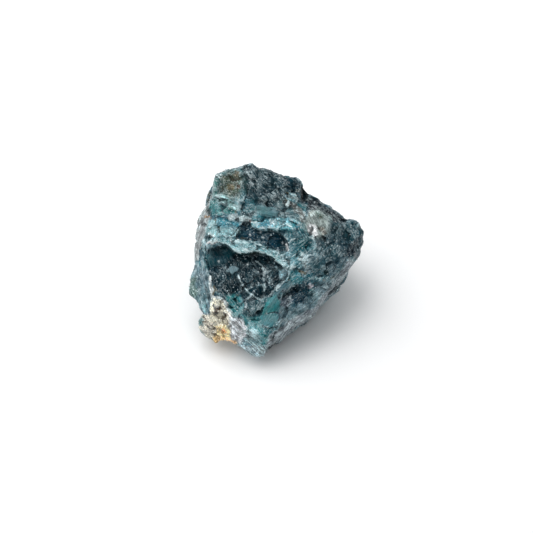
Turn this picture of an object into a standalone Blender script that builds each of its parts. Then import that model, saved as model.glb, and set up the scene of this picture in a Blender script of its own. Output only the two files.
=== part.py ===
"""A lump of rough blue-green apatite, broken on every side, lying on a small flat spot.

The lump is described in its face frame, in millimetres: the broken face looks along +Z, X runs to
the right and Y up the face. The whole lump then leans back until its flat spot is level, with the
middle of that spot at the world's origin.
"""

import math

import bmesh
import bpy
from mathutils import Matrix, Vector

MM = 0.001

# How far the face leans back from looking straight up.
FACE_LEAN = 35.0

# The raw block that the breaks cut down, and its middle in the face frame.
BLOCK_SIZE = 80.0
BLOCK_MIDDLE = (0.0, 0.0, -12.0)

# Each break is one flat fracture: its turn round the face's axis and its tilt away from that axis
# in degrees, and a point that it passes through.
BREAKS = {
    # the face, and the slopes that fall away from it
    "brow": (90, 4, (-2, 6, 1.9)),
    "lower_face": (250, 7, (-6, -4, 1.6)),
    "right_face": (325, 12, (6, -4, 1.5)),
    "crown": (84, 25, (-3, 14, 0.9)),
    "crown_left": (128, 33, (-12, 16, -0.8)),
    "shoulder": (22, 27, (10, 7, 0.0)),
    "upper_bevel": (50, 52, (11, 12, -2.6)),
    "lobe": (2, 60, (19.2, 5.0, -5.0)),
    "lower_slope": (314, 30, (8, -9, -0.6)),
    "splintery_side": (190, 52, (-17.4, -6, -3.0)),
    "ochre_corner": (236, 38, (-14, -14, -2.2)),
    "foot": (262, 46, (-4, -23.4, -2.8)),
    "left_edge": (170, 61, (-15.7, 6, -0.6)),
    # the walls round the face, out to the widest line
    "left_wall": (170, 79, (-18.6, 6, -8)),
    "upper_left_wall": (163, 80, (-15.4, 14.4, -6)),
    "right_wall": (331, 78, (18.9, 0, -8)),
    "lower_right_wall": (321, 77, (12.7, -8.6, -8)),
    "bottom_right_wall": (307, 77, (2.2, -18.7, -9)),
    "foot_wall": (243, 83, (-8, -23.3, -7)),
    # the walls behind the widest line
    "top_wall": (105, 96, (-10, 21.4, -7)),
    "top_right_wall": (73, 97, (-1, 20.8, -7)),
    "shoulder_wall": (53, 98, (10, 14.1, -8)),
    "lobe_wall": (38, 95, (20.6, 8.2, -9)),
    "lobe_nose": (352, 88, (20.3, 4, -8)),
    "left_back": (178, 108, (-18.0, 4, -11)),
    "left_corner_wall": (187, 99, (-22.1, -5, -9)),
    "lower_left_back": (210, 102, (-19.5, -10.4, -9)),
    "ochre_wall": (224, 92, (-17.2, -16.3, -7)),
    "foot_back": (246, 112, (-9, -22.4, -9)),
    "right_back": (335, 110, (18.6, 0, -11)),
    "lower_right_back": (314, 108, (7.4, -13.8, -12)),
    # the back and the underside
    "back": (82, 170, (1, 6, -25.5)),
    "back_left": (172, 134, (-13, 2, -20)),
    "back_right": (8, 137, (14, 4, -20)),
    "back_top": (96, 128, (-3, 16, -18)),
    "under_left": (220, 130, (-6.2, -7, -19.2)),
    "under_right": (322, 133, (5.8, -6, -19.9)),
    "under_front": (268, 138, (-2, -11.5, -16.2)),
    "under_back": (262, 166, (1, -0.2, -24.0)),
}

# The flat spot that the lump rests on, level once the face leans back.
RESTING_SPOT = (270, 180 - FACE_LEAN, (0.5, -5.5, -20.2))

# Steps broken into an edge: a shelf and a riser, each a turn, a tilt and a point. What lies outside
# both of them is gone.
STEPS = {
    "top_step": ((98, 112, (-3, 18.2, -16)), (150, 150, (-3, 18, -14.4))),
    "back_step": ((30, 160, (8, 8, -21.5)), (300, 95, (4, 8, -22))),
    "right_step": ((352, 96, (15.4, 2, -16)), (40, 155, (17, 4, -13.4))),
    "left_step": ((180, 100, (-17.4, 10, -10)), (100, 75, (-18, 7.5, -10))),
    "lower_step": ((250, 118, (-7, -17, -12)), (330, 70, (-9, -17, -12))),
    "under_step": ((210, 140, (-11, -4, -18.2)), (90, 100, (-11, -2.5, -18.5))),
}

# Ledges and lumps that stand out of the face: an outline, and a top given by its height over the
# middle of the face and its slopes along X and Y. They are rooted at one depth inside the lump.
LEDGE_ROOT = -8.0
LEDGES = {
    "crown_dome": (
        [(-15, 14.9), (-11.5, 14.2), (-8.6, 13.5), (-5, 14.4), (-2, 14.2), (1, 14.7), (3, 14.0),
         (5, 13.2), (5.6, 14.6), (2.4, 16), (2, 18.4), (1, 20.8), (-6, 21.9), (-12, 20.9), (-14, 20.1)],
        (8.0, -0.05, -0.463),
    ),
    "upper_ledge": (
        [(-14.6, 10.6), (-10, 11), (-5, 11), (0, 10.9), (4, 10.3), (7.2, 9.4), (6.4, 8), (4.5, 7.2),
         (1, 7.2), (-1, 7.4), (-3.6, 7.2), (-5.4, 7.9), (-6.2, 9), (-9, 9.4), (-13, 9.0)],
        (5.3, 0.02, -0.42),
    ),
    "middle_ledge": (
        [(-15.8, 5.2), (-12, 5.8), (-8, 5.0), (-5, 4.3), (-3, 3.7), (-1, 2.8), (1, 2.2), (4.5, 2.3),
         (7.2, 1.9), (6.9, 0.4), (5.2, -1.2), (3.2, -2.0), (1.8, -1.5), (0.4, -0.2), (-2.4, 1.3),
         (-4.8, 2.1), (-7.8, 1.8), (-9.8, 2.3), (-11.6, 3.7), (-14, 3.6)],
        (3.0, -0.14, -0.42),
    ),
    "oval_lump": (
        [(2.6, 5.2), (4.5, 6), (7, 6.1), (9.3, 5.1), (9.9, 3.2), (8.4, 1.6), (5, 1.6), (2.7, 2)],
        (3.0, -0.12, -0.06),
    ),
    "knob": (
        [(1.8, 18.4), (2.6, 19.3), (4.2, 19.5), (5.3, 18.9), (5.7, 17.6), (5.7, 16), (4.6, 14.9),
         (2.7, 15.2), (1.9, 17)],
        (2.3, -0.1, -0.1),
    ),
    "lobe_bump": (
        [(16.6, 9.8), (18.2, 9.7), (20, 8.7), (20.8, 6.6), (19, 5), (17, 6.5)],
        (3.9, -0.3, -0.3),
    ),
    "cream_lump": (
        [(6.8, 9.6), (8.6, 11.6), (11, 11), (12.6, 9), (12, 6.6), (9.6, 5.3), (8, 6)],
        (4.0, -0.3, -0.05),
    ),
    "diagonal_rib": (
        [(3.4, -4.4), (3.9, -5.6), (1.4, -7.2), (0.3, -8.8), (-1.2, -8.4), (0.6, -6.3), (1.6, -5.2)],
        (2.5, -0.02, 0.03),
    ),
    "smooth_flat": (
        [(-1.8, -8.6), (0.5, -8), (1.1, -10.8), (0.4, -11.8), (-1.5, -12.1), (-3.9, -12.9),
         (-2.7, -10.8)],
        (3.7, 0.14, 0.16),
    ),
    "smooth_lump": (
        [(-4.2, -12.4), (-1.5, -12.2), (0.6, -12.3), (0.7, -15), (-1.3, -15.8), (-3.4, -15.2)],
        (4.7, 0.05, 0.27),
    ),
    "ochre_crust": (
        [(-15.6, -9.2), (-12.6, -9.2), (-10.8, -12.6), (-9.4, -18.4), (-14.3, -19.7), (-17.4, -17.6),
         (-18.4, -14.6), (-16.8, -13)],
        (8.6, 0.33, 0.48),
    ),
}

# Hollows broken into the face: an outline, and a floor given in the same way.
HOLLOWS = {
    "brow_trough": (
        [(-13.8, 13.4), (-11.5, 13.8), (-8.4, 12.9), (-5, 13.8), (-2, 13.8), (1, 14.2), (2.6, 12.8),
         (3.6, 11), (0, 11.4), (-5, 11.3), (-10, 11.2), (-13.2, 11.0)],
        (-1.25, 0.0, 0.2),
    ),
    "great_hollow": (
        [(-17.2, 1.2), (-15.4, 3.2), (-14, 3.5), (-11.7, 3.7), (-9.8, 2.3), (-7.8, 1.8), (-4.8, 2.1),
         (-2.4, 1.3), (0.2, -0.1), (1.8, -1.7), (3.2, -2.6), (2.6, -4.6), (0.8, -5.6), (-1, -7.6),
         (-2.6, -9), (-4.6, -9.8), (-8, -9.2), (-12, -8), (-14.6, -6), (-16, -2)],
        (-0.3, 0.04, -0.24),
    ),
    "upper_slot": (
        [(-9.6, 5.6), (-8.6, 7.6), (-7.6, 9.2), (-6.2, 9), (-5.4, 7.9), (-3.6, 7.2), (-1, 7.3),
         (0.8, 6.8), (2.2, 5), (2.6, 1.9), (1, 2.2), (-1, 2.8), (-3, 3.7), (-5, 4.3), (-8, 5)],
        (1.3, -0.12, -0.26),
    ),
    "lower_hollow": (
        [(1.4, -9.2), (2, -7.6), (3.6, -6.2), (6, -6), (8.3, -5.9), (8.6, -7), (7, -8.8), (4.8, -10.4),
         (2.6, -10.2)],
        (-2.0, 0.02, -0.24),
    ),
    "black_notch": (
        [(5.9, 19), (6.1, 16), (6.1, 13.9), (7.2, 13.7), (7.6, 15.6), (8.6, 16.4), (9.5, 18)],
        (-7.0, 0.0, 0.0),
    ),
    "ochre_notch": (
        [(-21, -12), (-18, -11.4), (-17, -12.6), (-17.6, -13.6), (-21, -14)],
        (-16.0, 0.0, 0.0),
    ),
    "edge_hole": (
        [(-16.1, 5.8), (-14.2, 5.9), (-14, 5), (-16, 4.6)],
        (-1.2, 0.0, 0.0),
    ),
}

# How finely the surface is remade, and how many times the edges of its breaks are worn down.
SURFACE_STEP = 0.35
WEAR_PASSES = 8

# Roughness of the broken surface: each kind's pattern, the size of its bumps and their height.
ROUGHNESS = {
    "swells": ("CLOUDS", 7.0, 1.0),
    "blocks": ("VORONOI", 4.5, 1.3),
    "grain": ("VORONOI", 1.4, 0.35),
}
MOST_TRIANGLES = 8000

STONE_COLOUR = (0.09, 0.17, 0.19, 1.0)
STONE_ROUGHNESS = 0.45


def facing(turn, tilt):
    """The direction with this turn round the face's axis and this tilt away from it."""
    turn = math.radians(turn)
    tilt = math.radians(tilt)
    return Vector((math.sin(tilt) * math.cos(turn), math.sin(tilt) * math.sin(turn), math.cos(tilt)))


def object_from(bm, name, parent):
    """A new object that holds this bmesh, brought from millimetres to metres."""
    bmesh.ops.scale(bm, vec=(MM, MM, MM), verts=bm.verts)
    bmesh.ops.recalc_face_normals(bm, faces=bm.faces)
    mesh = bpy.data.meshes.new(name)
    bm.to_mesh(mesh)
    bm.free()
    obj = bpy.data.objects.new(name, mesh)
    obj.parent = parent
    bpy.context.scene.collection.objects.link(obj)
    return obj


def cut_block(planes, keep_outside):
    """The raw block cut by each plane in turn, keeping what lies inside it or outside it."""
    bm = bmesh.new()
    bmesh.ops.create_cube(bm, size=BLOCK_SIZE, matrix=Matrix.Translation(BLOCK_MIDDLE))
    for turn, tilt, point in planes:
        cut = bmesh.ops.bisect_plane(
            bm,
            geom=bm.verts[:] + bm.edges[:] + bm.faces[:],
            plane_co=point,
            plane_no=facing(turn, tilt),
            clear_outer=not keep_outside,
            clear_inner=keep_outside,
        )
        rim = [e for e in cut["geom_cut"] if isinstance(e, bmesh.types.BMEdge)]
        bmesh.ops.holes_fill(bm, edges=rim, sides=0)
    return bm


def column(outline, level, far):
    """A column over this outline, between a sloping plane and a level far beyond it."""
    height, slope_x, slope_y = level
    bm = bmesh.new()
    near_end = [bm.verts.new((x, y, height + slope_x * x + slope_y * y)) for x, y in outline]
    far_end = [bm.verts.new((x, y, far)) for x, y in outline]
    bm.faces.new(near_end)
    bm.faces.new(far_end)
    for i in range(len(outline)):
        j = (i + 1) % len(outline)
        bm.faces.new((near_end[i], near_end[j], far_end[j], far_end[i]))
    return bm


def combine(stone, tool, operation):
    """Joins the tool's shape to the stone, or takes it away."""
    tool.hide_render = True
    tool.display_type = "WIRE"
    step = stone.modifiers.new(tool.name, "BOOLEAN")
    step.operation = operation
    step.solver = "EXACT"
    step.object = tool


def roughen(stone, name, pattern, size, height):
    """Moves the surface in and out by a solid pattern."""
    texture = bpy.data.textures.new(name, pattern)
    texture.noise_scale = size * MM
    move = stone.modifiers.new(name, "DISPLACE")
    move.texture = texture
    move.texture_coords = "LOCAL"
    move.strength = height * MM
    move.mid_level = 0.5


def stone_material():
    material = bpy.data.materials.new("apatite")
    material.use_nodes = True
    shader = material.node_tree.nodes["Principled BSDF"]
    shader.inputs["Base Color"].default_value = STONE_COLOUR
    shader.inputs["Roughness"].default_value = STONE_ROUGHNESS
    shader.inputs["Metallic"].default_value = 0.0
    return material


def triangle_count(obj):
    """How many triangles the object has with its modifiers."""
    evaluated = obj.evaluated_get(bpy.context.evaluated_depsgraph_get())
    mesh = evaluated.to_mesh()
    mesh.calc_loop_triangles()
    count = len(mesh.loop_triangles)
    evaluated.to_mesh_clear()
    return count


def face_frame():
    """An empty that leans the face back and sets the middle of the flat spot at the origin."""
    frame = bpy.data.objects.new("face_frame", None)
    lean = Matrix.Rotation(math.radians(FACE_LEAN), 4, "X")
    spot = Vector(RESTING_SPOT[2]) * MM
    frame.rotation_euler = lean.to_euler()
    frame.location = -(lean @ spot)
    bpy.context.scene.collection.objects.link(frame)
    return frame


def build():
    for old in list(bpy.data.objects):
        bpy.data.objects.remove(old)
    frame = face_frame()
    stone = object_from(cut_block(BREAKS.values(), False), "apatite_stone", frame)
    for name, planes in STEPS.items():
        combine(stone, object_from(cut_block(planes, True), name, frame), "DIFFERENCE")
    for name, (outline, top) in LEDGES.items():
        combine(stone, object_from(column(outline, top, LEDGE_ROOT), name, frame), "UNION")
    for name, (outline, floor) in HOLLOWS.items():
        combine(stone, object_from(column(outline, floor, BLOCK_SIZE / 2), name, frame), "DIFFERENCE")
    surface = stone.modifiers.new("even surface", "REMESH")
    surface.mode = "VOXEL"
    surface.voxel_size = SURFACE_STEP * MM
    worn = stone.modifiers.new("worn edges", "SMOOTH")
    worn.iterations = WEAR_PASSES
    for name, (pattern, size, height) in ROUGHNESS.items():
        roughen(stone, name, pattern, size, height)
    fewer = stone.modifiers.new("fewer faces", "DECIMATE")
    fewer.ratio = 1.0
    fewer.ratio = MOST_TRIANGLES / triangle_count(stone)
    combine(stone, object_from(cut_block([RESTING_SPOT], True), "flat spot", frame), "DIFFERENCE")
    stone.data.materials.append(stone_material())


build()
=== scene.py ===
"""The looks of a lump of rough blue-green apatite, broken on every side, on a plain pale floor.

The lump's patches are placed in its face frame, in millimetres, as in the part's source: the broken
face looks along +Z, X runs to the right and Y up the face.
"""

import math

import bmesh
import bpy
import numpy as np
from mathutils import Matrix, Vector, noise


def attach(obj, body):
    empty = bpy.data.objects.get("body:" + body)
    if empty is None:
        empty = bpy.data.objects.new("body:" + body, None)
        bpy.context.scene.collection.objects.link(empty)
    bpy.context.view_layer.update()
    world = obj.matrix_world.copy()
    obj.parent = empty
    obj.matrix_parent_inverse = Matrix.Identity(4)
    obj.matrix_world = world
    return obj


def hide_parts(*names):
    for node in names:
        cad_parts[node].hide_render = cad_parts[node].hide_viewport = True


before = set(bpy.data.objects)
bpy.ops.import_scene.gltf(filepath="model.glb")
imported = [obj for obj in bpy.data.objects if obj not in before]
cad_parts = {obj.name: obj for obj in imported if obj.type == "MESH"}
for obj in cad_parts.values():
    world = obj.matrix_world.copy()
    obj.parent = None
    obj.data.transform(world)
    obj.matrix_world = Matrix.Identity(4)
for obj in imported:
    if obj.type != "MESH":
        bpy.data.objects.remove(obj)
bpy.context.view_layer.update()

# Holds the noise vectors to one seed, which would otherwise be taken from the clock.
noise.seed_set(7)

MM = 0.001
STONE = "apatite_stone"

# The face frame: how far the face leans back from looking up, and where the middle of the flat spot
# lies in it, in millimetres. The world's origin is that middle.
FACE_LEAN = math.radians(35)
SPOT_IN_FACE = np.array((0.5, -5.5, -20.2))
FACE_TURN = np.array(Matrix.Rotation(FACE_LEAN, 3, "X"))

# The photograph's frame: how many pixels wide and high it is, how wide a pixel is on the stone, in
# millimetres, and the pixel where the face frame's origin shows.
FRAME_PIXELS = 533
PIXEL = 0.235
FACE_ORIGIN_PIXEL = (276.0, 260.5)

# How long the camera's lens is and how wide its sensor, in millimetres.
LENS = 135.0
SENSOR = 36.0

# What each finish is like, from 0 to 1: how deep its breaks are, how glassy it is, how many crystal
# grains, painted glints and hairline cracks it has, how frosted with crushed mineral, how crumbly and how
# fibrous it is.
TRAITS = ("depth", "polish", "flecks", "frost", "crumbs", "fibres")
FINISHES = {
    "navy": (0.45, 0.9, 0.62, 0.06, 0.0, 0.0),
    "teal": (0.45, 0.7, 0.25, 0.35, 0.0, 0.0),
    "smooth": (0.12, 0.6, 0.03, 0.1, 0.0, 0.05),
    "crushed": (0.6, 0.4, 0.4, 0.9, 0.0, 0.05),
    "slate": (0.55, 0.5, 0.4, 0.25, 0.0, 0.15),
    "crust": (0.6, 0.05, 0.05, 0.1, 1.0, 0.0),
    "stain": (0.7, 0.2, 0.2, 0.1, 0.4, 0.0),
    # a dark finish without flecks, for painted shade in notches
    "cleft_shade": (0.4, 0.2, 0.0, 0.0, 0.0, 0.0),
    "rind": (0.3, 0.3, 0.06, 0.4, 0.0, 0.6),
    "fibre": (0.4, 0.35, 0.2, 0.5, 0.0, 1.0),
}

# Patches of the face, laid one over another: a finish, a colour, how soft the edge is and an outline.
PATCHES = [
    # crown
    ("slate", "#1b2c33", 1.0,
     [(-8, 22.5), (-2.6, 22.5), (3, 20), (2.2, 15.8), (1.5, 14.2), (-2, 12.5), (-5, 13), (-7, 14.5)]),
    ("stain", "#323f32", 3.0,
     [(-13.6, 19.8), (-11.5, 21), (-9, 21.6), (-7.8, 20), (-7.6, 16.4), (-8.8, 14.4), (-11, 14.2),
      (-13.4, 15.6)]),
    ("stain", "#494126", 0.5, [(-10, 21.2), (-8.9, 21), (-8.8, 19.2), (-9.6, 19.6)]),
    ("stain", "#61593f", 0.6, [(-11.6, 17.8), (-10.2, 18), (-9.9, 16.8), (-11.2, 16.4)]),
    ("stain", "#3a2914", 0.5, [(-9.3, 18.2), (-8, 17.9), (-8.2, 16.6), (-9.2, 16.8)]),
    ("teal", "#2c5755", 0.8,
     [(-14.8, 19), (-13.5, 19.4), (-13.8, 16.5), (-12.5, 15), (-14, 14.4), (-15.8, 15.5)]),
    ("crushed", "#1d3937", 0.4, [(-14.3, 20.4), (-12.6, 20.8), (-12.6, 19.9), (-13.8, 19.2)]),
    ("crushed", "#646d71", 0.4,
     [(-7.2, 21.2), (-6.6, 21.2), (-5.5, 19.2), (-5.2, 17.4), (-5.9, 17.4), (-6.1, 19)]),
    # between the crown and the upper ledge
    ("crushed", "#a7ccce", 0.9,
     [(-14.6, 15.6), (-12.8, 15.3), (-8.4, 12.7), (-8.8, 11.6), (-11.4, 12.9), (-14.6, 14.2)]),
    ("teal", "#296468", 0.7,
     [(-15.8, 14.4), (-14.4, 14.4), (-12.8, 12.6), (-13, 10.6), (-14.8, 10.8), (-15.8, 12)]),
    ("navy", "#346061", 0.6, [(-12.6, 12.7), (-10.8, 12.6), (-9.4, 11.6), (-9.8, 10.8), (-12.2, 10.9)]),
    ("teal", "#37636c", 0.7, [(-8.6, 14.2), (-5.2, 14.2), (-4.8, 11.6), (-5.6, 10.6), (-8.4, 11)]),
    ("navy", "#07262e", 0.4, [(-8, 11.3), (-5.5, 11.6), (-5.2, 10.8), (-7.4, 10.5)]),
    ("smooth", "#5b7b82", 0.5, [(-4.8, 12.6), (-2, 12.9), (0.2, 12.2), (0, 10.4), (-2, 10), (-4.6, 10.5)]),
    ("slate", "#455c62", 0.9, [(0, 14), (3, 13.4), (5.4, 11), (6.4, 9), (3, 9.8), (0.3, 10.3)]),
    ("crushed", "#a2b2b5", 0.5,
     [(-11.2, 10.4), (-9, 10.7), (-6.4, 10.2), (-5.3, 9.6), (-5.7, 8.8), (-9, 9.5), (-11, 9.6)]),
    ("stain", "#8a594b", 0.2, [(-6.3, 9.5), (-5.8, 9.6), (-5.7, 8.9), (-6.2, 8.8)]),
    ("teal", "#256f80", 0.6,
     [(-13.8, 9.8), (-9.5, 9.5), (-7.8, 8.3), (-8.2, 7.2), (-12.6, 7.6), (-14, 8.2)]),
    ("crushed", "#85aeb3", 0.7,
     [(-16.1, 9.8), (-14.4, 9.6), (-13.9, 8.2), (-12.8, 6.6), (-13.2, 5.2), (-16.6, 6.4)]),
    ("crushed", "#acd6dd", 0.6, [(-13, 7.6), (-8.2, 7.1), (-8, 6.2), (-9.8, 5.6), (-13.4, 5.9)]),
    # upper ledge and slot
    ("crushed", "#5a98a6", 0.5,
     [(-5.4, 10.2), (-4.4, 10.7), (-2, 10), (2, 10), (4, 9.8), (6.7, 9), (5.6, 8.2), (4.5, 7.3), (1, 7.2),
      (-3.5, 7.2), (-5.6, 8.2)]),
    ("navy", "#0a3040", 0.35,
     [(-9.6, 5.4), (-8.4, 6.8), (-8.1, 8.9), (-7, 8.9), (-6, 8.1), (-4.5, 7.4), (-2.5, 7), (0, 6.4),
      (1.6, 5.5), (2.2, 4.2), (2.6, 2), (1, 2.2), (-1.5, 3), (-2.6, 3.9), (-4.6, 4.7), (-7, 5.1)]),
    # middle ledge
    ("crushed", "#5b868f", 0.5,
     [(-15.8, 5.2), (-12, 5.6), (-8, 4.7), (-5, 3.9), (-3, 3.3), (-1, 2.4), (1, 2), (4.5, 2.1), (7, 1.8),
      (6.8, -0.6), (5, -2), (3, -2.4), (1.3, -1), (0, 0.1), (-2.5, 1.3), (-5, 1.9), (-8, 1.6), (-9.6, 2),
      (-11.8, 3.6), (-15.5, 4)]),
    ("crushed", "#71989e", 0.35,
     [(-10.4, 3.6), (-9, 2.9), (-7.6, 2.6), (-5, 2.7), (-2.4, 2), (0, 1.1), (1.6, 0.2), (1.1, -0.9),
      (0, 0.2), (-2.5, 1.4), (-5, 2), (-8, 1.7), (-9.7, 2.1)]),
    ("crushed", "#a3bcc1", 0.6, [(5.8, 1.8), (7.4, 1.4), (7.4, -0.6), (6.2, -1.4), (5.9, 0)]),
    # great hollow
    ("navy", "#061b25", 0.5,
     [(-17.2, 0.6), (-15.5, 2.5), (-13.5, 2.7), (-12, 3.6), (-10.4, 2.8), (-9.8, 1.9), (-8, 1.5), (-5, 1.8),
      (-2.5, 1.2), (0, 0), (1.5, -1.6), (3.1, -2.5), (2.3, -4.2), (0.4, -6.3), (-1, -7.6), (-2.5, -8.3),
      (-3.5, -9.6), (-6, -9.8), (-8, -9), (-8.6, -7.6), (-12, -8), (-14, -7), (-15.2, -4.6),
      (-16.2, -1.6)]),
    ("smooth", "#073b46", 1.6,
     [(-17, 0.6), (-15.4, 2.6), (-13.4, 2.9), (-11.8, 3.5), (-10.5, 2.4), (-10.6, 0.6), (-12.6, -0.8),
      (-15.2, -1)]),
    ("smooth", "#778e96", 0.25,
     [(-11.7, -2.6), (-11, -1.5), (-10, -1.3), (-8.8, -2.2), (-9.8, -2.9), (-10.6, -3.1)]),
    ("crushed", "#a0c4d2", 0.5, [(0.2, -1.6), (1.7, -1.9), (3.2, -2.6), (2.6, -4.6), (1.4, -4), (0.6, -3)]),
    # right shoulder
    ("slate", "#1b1e25", 1.0,
     [(6.8, 14.8), (8.4, 15.6), (12.6, 12.8), (17, 9.6), (15.8, 8), (13.4, 8.6), (12.4, 10.6), (9.8, 12),
      (7.8, 11.6)]),
    ("slate", "#2b424b", 1.4,
     [(12.6, 9), (16.6, 8.8), (17.2, 5), (17, 0.6), (15.4, -1.6), (12.2, -0.6), (9.2, 2), (9.4, 4.8),
      (12.2, 6.4)]),
    ("slate", "#37515a", 1.2,
     [(8, 2.2), (12.4, 0), (15.4, -1.4), (15, -3.6), (12.4, -4.2), (8.6, -3.2), (7.2, -1.4)]),
    ("crushed", "#6a6c69", 0.6,
     [(1.5, 14.5), (4, 13.6), (5.6, 12.5), (6.7, 10.6), (7.3, 9), (6.2, 8.9), (5, 10.8), (3.4, 12.6),
      (1.4, 13.4)]),
    ("rind", "#838f8b", 1.6,
     [(6.6, 9.2), (7.8, 11.5), (10, 11.9), (12.4, 10.7), (13, 9), (12.4, 6.4), (10.8, 4.9), (8.8, 5.2),
      (6.8, 7.6)]),
    ("crushed", "#ededed", 0.8, [(7.3, 8.2), (8.7, 8.7), (9.7, 7.4), (9.9, 5.9), (8.8, 5.6), (7.8, 6.6)]),
    ("crust", "#96958e", 0.5, [(10.2, 7.6), (11.6, 7.5), (11.9, 6), (10.6, 5.9)]),
    ("crust", "#4a675e", 0.5, [(9.2, 11.4), (10.9, 11.2), (10.8, 10.1), (9.4, 10)]),
    ("teal", "#304042", 0.3,
     [(2.4, 15.4), (3.8, 15.3), (5.5, 14.6), (5.2, 13.9), (3.6, 14.4), (2.4, 14.8)]),
    # painted shadow beside the notch at the crown's right side
    ("cleft_shade", "#0f262f", 0.5, [(2.3, 19.6), (4.6, 19.8), (5.8, 18.4), (5.8, 15.8), (4.2, 15.5), (2.4, 16)]),
    ("crushed", "#36372f", 0.3, [(4.6, 16.9), (5.6, 16.9), (5.6, 16), (4.8, 15.9)]),
    # painted shadow deep in that notch, nearly black
    ("cleft_shade", "#070708", 0.4, [(5.8, 18), (6, 14), (7, 13.7), (7.6, 15.8), (8.6, 16.6), (7, 18)]),
    # right tip
    ("navy", "#0d3039", 0.7,
     [(16.6, 9), (18.2, 9.2), (20.4, 8), (21.4, 5), (20.4, 1), (18.8, 0.2), (17.4, 0.6), (17.4, 4),
      (16.8, 6.4)]),
    ("teal", "#1a3c44", 0.5, [(18, 7.5), (19.4, 7.2), (19.6, 5.6), (18.9, 4.6), (18, 5.2)]),
    ("navy", "#071622", 0.5, [(16.9, 4.2), (18.4, 4), (18.7, 1.6), (17.4, 0.6), (16.7, 2.4)]),
    # middle right
    ("teal", "#355f69", 0.6, [(2.8, 5.4), (5, 6.2), (8, 6.2), (9.6, 5), (9.6, 2.6), (7.2, 1.8), (3.2, 2)]),
    ("teal", "#1a5059", 0.5,
     [(3.6, 5.2), (5, 5.7), (7.4, 5.6), (8.6, 4.8), (8.4, 3.3), (6.8, 2.5), (4.6, 2.6), (3.5, 3.6)]),
    ("crushed", "#c1d1d0", 0.2, [(3.1, 4.5), (3.3, 4.9), (4.5, 5.5), (4.6, 5.2), (3.6, 4.7)]),
    ("crushed", "#ededed", 0.2, [(2.3, 4.2), (2.7, 4.1), (3.0, 2.8), (2.8, 2.0), (2.5, 3)]),
    ("crushed", "#acbcbb", 0.25, [(8.1, 5.5), (9.3, 5.3), (9.2, 4.9), (8.2, 5.1)]),
    ("navy", "#072225", 0.3, [(11.2, -2.2), (12.4, -2.2), (12.4, -3.4), (11.2, -3.4)]),
    # lower right
    ("slate", "#637b83", 1.0,
     [(1.2, -10.6), (4.6, -10.8), (8.4, -8.6), (10, -5), (13.8, -4.2), (14.4, -5.6), (12.4, -8.4),
      (9.8, -11.3), (6, -13.4), (2.4, -15), (0.6, -15.6), (0.6, -12.6)]),
    ("teal", "#35707b", 0.5, [(3.1, -2.8), (4.6, -2.5), (6.1, -3), (6.2, -4.7), (5.2, -5.5), (3.6, -5.2)]),
    ("teal", "#26515e", 0.5, [(6.4, -3), (8.7, -2.8), (8.9, -4.7), (7, -5.2), (6.3, -4.6)]),
    ("navy", "#082b3a", 0.35,
     [(2.4, -7.9), (3.3, -6.9), (4.6, -6.2), (7, -6), (8.3, -6.5), (7.3, -8.6), (6, -9.6), (4.8, -10.4),
      (3.8, -9.6)]),
    ("smooth", "#3a5d66", 0.3,
     [(3.4, -4.6), (3.7, -5.5), (1.4, -7.1), (0.4, -8.7), (-0.8, -8.2), (0.8, -6.4), (1.8, -5.4)]),
    ("slate", "#545e68", 0.6, [(0.8, -8.6), (2.4, -8.4), (3.2, -10.4), (2, -11.2), (0.9, -10.6)]),
    ("crushed", "#4e5964", 0.4, [(2, -8), (3.4, -8), (4.1, -9.4), (3.6, -10.4), (2.4, -9.4)]),
    ("crushed", "#b0aab2", 0.3, [(7.5, -5.7), (8.6, -5.5), (8.9, -6.3), (8, -6.7)]),
    ("smooth", "#346e73", 0.25,
     [(-1.7, -8.6), (0.4, -8.1), (0.9, -9.6), (0.9, -11.2), (0.2, -11.8), (-1.5, -12.1), (-2.9, -12.8),
      (-3.9, -12.6), (-2.6, -11)]),
    ("smooth", "#42767d", 0.4,
     [(-4, -12.9), (-1.5, -12.4), (0.5, -12.3), (0.6, -14.8), (-1.3, -15.5), (-3.5, -15)]),
    # lower middle and foot
    ("slate", "#274249", 0.7,
     [(-8, -9.4), (-5, -9.9), (-2.6, -9.6), (-3.6, -12.2), (-5.6, -13.3), (-7.8, -12.8)]),
    ("teal", "#28686d", 0.6,
     [(-11.5, -8.2), (-9.4, -7.9), (-7.8, -9.2), (-7.6, -11), (-8.4, -13.2), (-9.8, -13.4),
      (-11.2, -11.4)]),
    ("teal", "#427a7f", 0.8,
     [(-8.2, -13), (-5.6, -13.4), (-3.9, -13), (-3.5, -15.3), (-1.6, -16), (-1.4, -18.2), (-2.4, -20),
      (-5.4, -20.2), (-7.4, -18), (-6.8, -15.4)]),
    ("fibre", "#92b3bb", 0.7,
     [(-7.1, -16.6), (-5, -16.2), (-3.6, -17.6), (-3.2, -20.2), (-5.2, -20.6), (-7.6, -18.8)]),
    ("teal", "#1b5b61", 0.4, [(-3.3, -15.8), (-1.5, -16.1), (-1.2, -17.4), (-2.8, -17.9)]),
    ("fibre", "#849aa4", 0.7,
     [(-9, -19.8), (-5.4, -20.2), (-2, -20), (-1, -21.6), (-3.8, -23.6), (-6.4, -22.4)]),
    # ochre matrix in the lower left corner
    ("crust", "#d9d3c4", 0.8,
     [(-18.4, -12.8), (-15.8, -12.6), (-14.4, -15), (-14.2, -18), (-15.8, -19), (-18.6, -16)]),
    ("crust", "#dfdac6", 0.5,
     [(-15.4, -9), (-12.7, -9.3), (-11.4, -11), (-10.5, -13), (-10.8, -15.2), (-13, -15.8), (-15.7, -14.4),
      (-15.7, -11.4)]),
    ("crust", "#eddba2", 0.7,
     [(-14.4, -15.4), (-12, -15.2), (-10.8, -16.6), (-10.6, -18.6), (-12.6, -19), (-14.4, -17.4)]),
    ("crust", "#d28e3d", 0.3, [(-13.1, -16.2), (-12, -16.3), (-11.7, -17.3), (-12.9, -17.4)]),
    ("crust", "#edc98c", 0.5, [(-15.2, -18.2), (-12.6, -18.1), (-9.4, -18.7), (-9.4, -20), (-14.4, -20)]),
    ("crust", "#755736", 0.2,
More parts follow.
